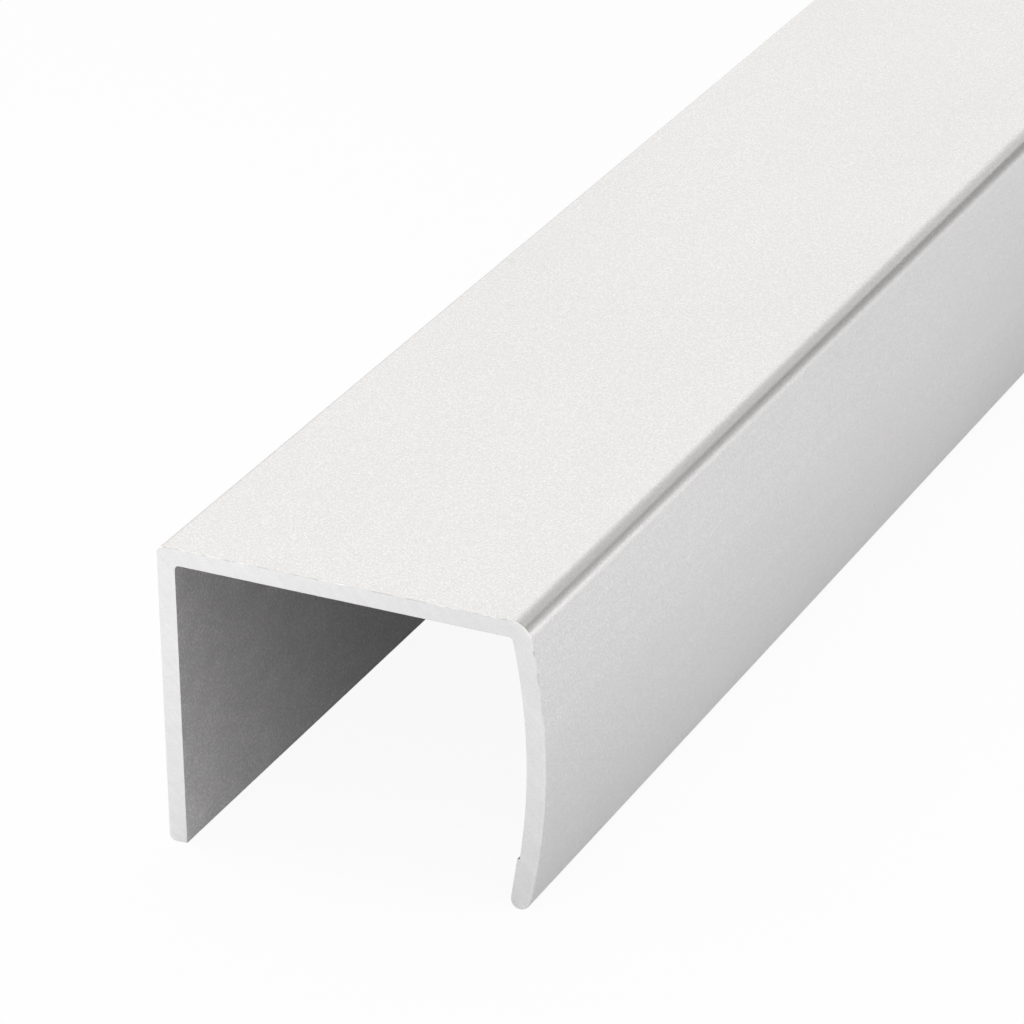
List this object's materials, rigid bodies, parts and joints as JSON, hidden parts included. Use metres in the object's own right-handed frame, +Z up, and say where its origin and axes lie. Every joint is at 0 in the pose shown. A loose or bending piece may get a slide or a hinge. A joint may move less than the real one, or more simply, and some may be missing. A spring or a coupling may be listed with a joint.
{
  "type": "aluminium extrusion profile",
  "caption": "Extruded aluminium channel: flat web with a slight fall, a straight leg and a bowed leg that ends in an inward catch, for use as a clip-on cover or edge trim.",
  "frame": {"origin": "under the middle of the stock, at the centre of its box and on the level of its feet", "axes": "+X across the section from the flat leg to the bowed leg, +Y along the extrusion away from the pictured end, +Z up from the feet to the web"},
  "size_m": [0.0254, 1, 0.02],
  "materials": {
    "satin_aluminium": "fine blasted and clear anodised, satin silver, with bare sawn ends"
  },
  "bodies": {
    "root": {"profile": "satin_aluminium"}
  },
  "joints": []
}
